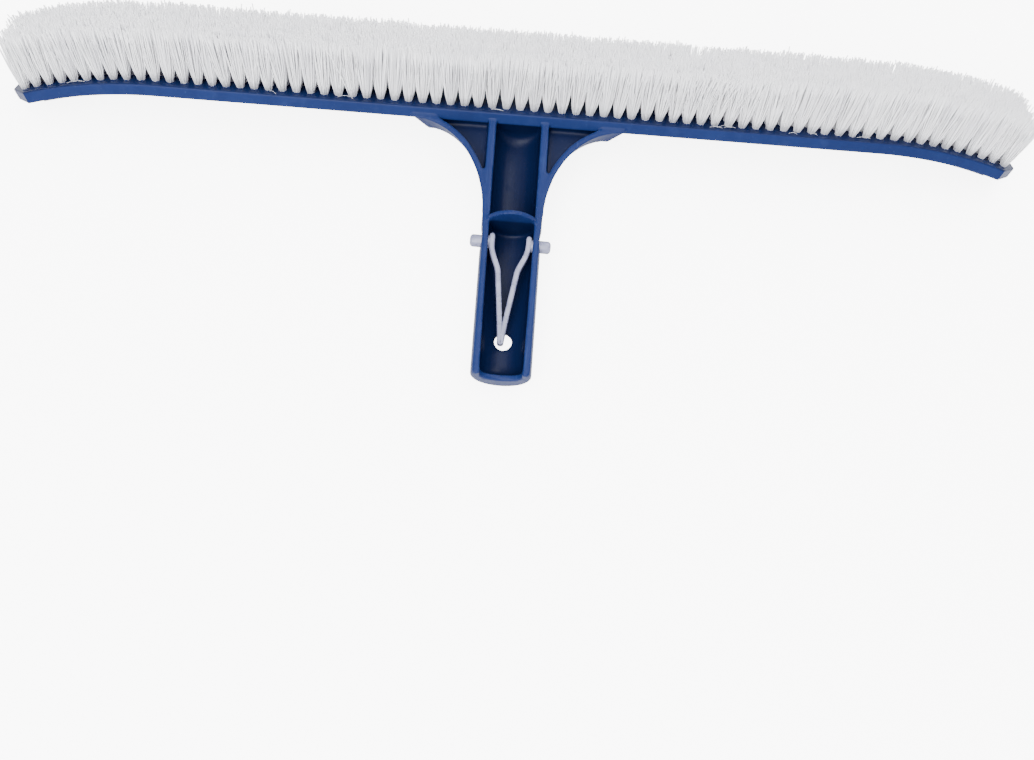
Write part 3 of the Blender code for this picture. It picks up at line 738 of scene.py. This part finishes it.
def clear_nylon():
    """Natural, half clear nylon: milky in patches, with fine mould lines along the legs."""
    finish = Finish("clear_nylon", CLEAR_NYLON, 0.3, IOR=1.53)
    finish.set(finish.shader, "Transmission Weight", 0.30)
    cloud = finish.noise(220.0, 3.0)
    lines = finish.noise(1500.0, 2.0, (1.0, 0.12, 1.0))
    finish.set(finish.shader, "Base Color",
               finish.mix(finish.between(cloud, 0.35, 0.65), CLEAR_NYLON, CLEAR_NYLON_MILKY))
    finish.set(finish.shader, "Roughness", 0.20 + cloud * 0.18)
    finish.bump(lines, 0.04 * MM, 0.5)
    return finish.material


FLOOR_WHITE = (0.93, 0.93, 0.935)
FLOOR_SHADE = (0.91, 0.91, 0.915)
FLOOR_GLOW = 6.0


def floor_paper():
    """A pale matt backdrop paper with hardly any tooth, lit from behind for the camera alone."""
    finish = Finish("floor_paper", FLOOR_WHITE, 0.85)
    path = finish.node("ShaderNodeLightPath")
    glow = finish.mix(path.outputs["Is Camera Ray"], (0.0, 0.0, 0.0), (1.0, 1.0, 1.0))
    finish.set(finish.shader, "Emission Color", glow)
    finish.set(finish.shader, "Emission Strength", FLOOR_GLOW)
    cloud = finish.noise(6.0, 3.0)
    finish.set(finish.shader, "Base Color", finish.mix(cloud, FLOOR_SHADE, FLOOR_WHITE))
    return finish.material


# Stage ------------------------------------------------------------------------------------------

CAMERA_AIM = Vector((6.7, -82.788, 19.989)) * MM
CAMERA_DISTANCE = 411.0 * MM
CAMERA_AZIMUTH = math.radians(-3.317)
CAMERA_ELEVATION = math.radians(70.056)
CAMERA_ROLL = math.radians(7.385)
CAMERA_LENS = 35.5
SENSOR_WIDTH = 36.0
FLOOR_HALF = 6.0
FLOOR_DROP = 0.0002                 # under the brush, so that the two don't share a plane
STUDIO_TINT = (0.97, 0.98, 1.0, 1.0)
STUDIO_STRENGTH = 1.2


def make_camera():
    """A camera on a sphere round its aim, turned about its own line of sight by the roll."""
    back = Vector((math.sin(CAMERA_AZIMUTH) * math.cos(CAMERA_ELEVATION),
                   -math.cos(CAMERA_AZIMUTH) * math.cos(CAMERA_ELEVATION),
                   math.sin(CAMERA_ELEVATION)))
    right = Vector((0.0, 0.0, 1.0)).cross(back).normalized()
    over = back.cross(right)
    tipped_right = right * math.cos(CAMERA_ROLL) + over * math.sin(CAMERA_ROLL)
    tipped_over = over * math.cos(CAMERA_ROLL) - right * math.sin(CAMERA_ROLL)
    turn = Matrix((tipped_right, tipped_over, back)).transposed().to_4x4()
    camera = bpy.data.cameras.new("camera")
    camera.lens = CAMERA_LENS
    camera.sensor_width = SENSOR_WIDTH
    camera.clip_start = 0.01
    camera.clip_end = 20.0
    holder = bpy.data.objects.new("camera", camera)
    holder.matrix_world = Matrix.Translation(CAMERA_AIM + back * CAMERA_DISTANCE) @ turn
    bpy.context.collection.objects.link(holder)
    bpy.context.scene.camera = holder


def make_softbox(name, place, aim, size, power):
    """A square area light that faces a point."""
    light = bpy.data.lights.new(name, "AREA")
    light.shape = "SQUARE"
    light.size = size
    light.energy = power
    holder = bpy.data.objects.new(name, light)
    direction = Vector(aim) - Vector(place)
    holder.matrix_world = (Matrix.Translation(place)
                           @ direction.to_track_quat("-Z", "Y").to_matrix().to_4x4())
    bpy.context.collection.objects.link(holder)


def make_stage():
    corners = np.array(((-1, -1, 0), (1, -1, 0), (1, 1, 0), (-1, 1, 0))) * FLOOR_HALF
    corners[:, 2] = -FLOOR_DROP
    floor = make_piece("floor", corners, [[0, 1, 2, 3]], floor_paper())
    make_softbox("key_softbox", (-0.35, -0.85, 0.95), (0.0, 0.0, 0.0), 0.9, 30.0)
    make_softbox("back_softbox", (0.5, 0.75, 0.9), (0.0, 0.0, 0.0), 0.8, 11.5)
    make_softbox("top_softbox", (0.0, -0.1, 1.5), (0.0, 0.0, 0.0), 1.2, 24.0)
    world = bpy.data.worlds.new("studio")
    world.use_nodes = True
    background = world.node_tree.nodes["Background"]
    background.inputs["Color"].default_value = STUDIO_TINT
    background.inputs["Strength"].default_value = STUDIO_STRENGTH
    bpy.context.scene.world = world


def settle(piece, body, slot, *nodes):
    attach(piece, body)
    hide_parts(*nodes)


def main():
    make_camera()
    make_stage()
    blue = blue_plastic()
    white = bristle_nylon()
    clear = clear_nylon()
    settle(make_handle(blue), "brush", "body_plastic", "brush_body")
    settle(make_plate(blue), "brush", "body_plastic", "brush_body")
    settle(make_hole_rims(blue), "brush", "body_plastic", "brush_body")
    settle(make_wisps(white), "brush", "bristle_nylon")
    for row in range(ROWS):
        first = -(TUFTS_PER_ROW - 1) // 2
        for place, (word, count) in enumerate(SECTION_TUFTS):
            run = "row_{}_{}".format(row + 1, word)
            seed = 100 + 10 * row + place
            piece = make_filaments("filaments_" + run, row, first, count, white, seed)
            settle(piece, "brush", "bristle_nylon", "bristles_" + run)
            first += count
    settle(make_bow(clear), "brush", "clip_nylon", "clip_bow")
    for side, word in ((-1, "left"), (1, "right")):
        body = word + "_clip_arm"
        leg = make_leg("leg_" + word, side, clear)
        button = make_button("button_" + word, side, clear)
        settle(leg, body, "clip_nylon", "clip_leg_" + word)
        settle(button, body, "clip_nylon", "clip_button_" + word)


main()
